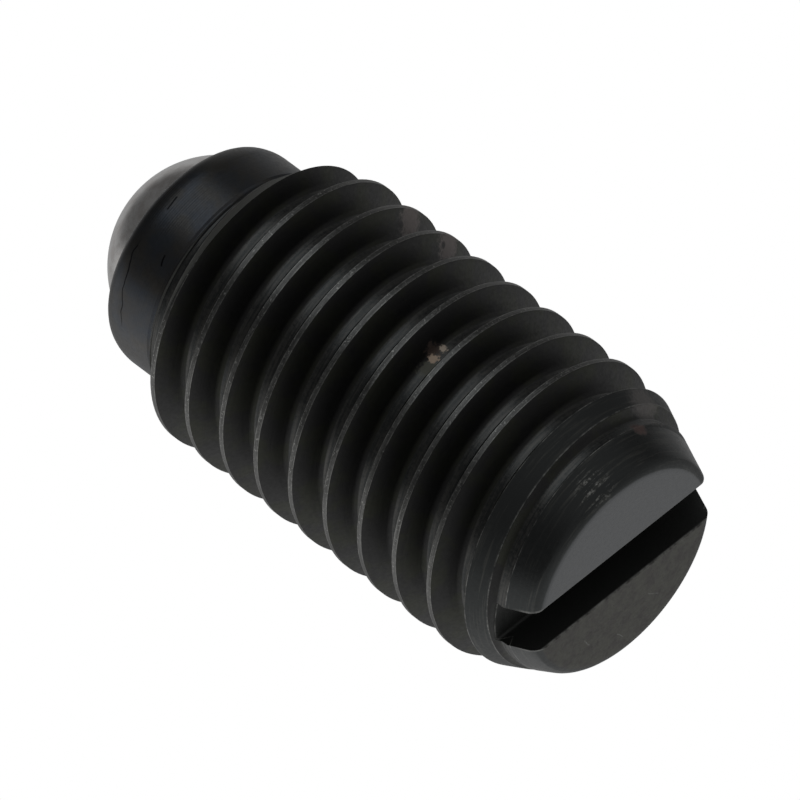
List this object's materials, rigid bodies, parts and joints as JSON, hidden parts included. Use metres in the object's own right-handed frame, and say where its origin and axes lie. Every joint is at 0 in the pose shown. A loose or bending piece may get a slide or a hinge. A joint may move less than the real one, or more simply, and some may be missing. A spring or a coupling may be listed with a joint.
{
  "type": "ball spring plunger",
  "caption": "Threaded steel sleeve holding a sprung, captive ball that presses into a detent; slotted at the foot to screw it in.",
  "frame": {"origin": "centre of the slotted face, which the plunger stands on", "axes": "+Z along the thread's axis towards the ball; the slot runs along X"},
  "size_m": [0.0118, 0.0118, 0.0245],
  "materials": {
    "black_oxide_steel": "black oxide, satin",
    "spring_steel": "drawn wire, satin",
    "polished_steel": "hardened and polished"
  },
  "bodies": {
    "sleeve": {"body": "black_oxide_steel", "spring": "spring_steel"},
    "ball": {"ball": "polished_steel"}
  },
  "joints": [
    {"name": "ball_press", "type": "slide", "parent": "sleeve", "child": "ball", "axis": [0, 0, -1], "range_m": [0, 0.0025], "stiffness_N_per_m": 9000, "springref_m": -0.0025, "deforming": ["spring"]}
  ]
}
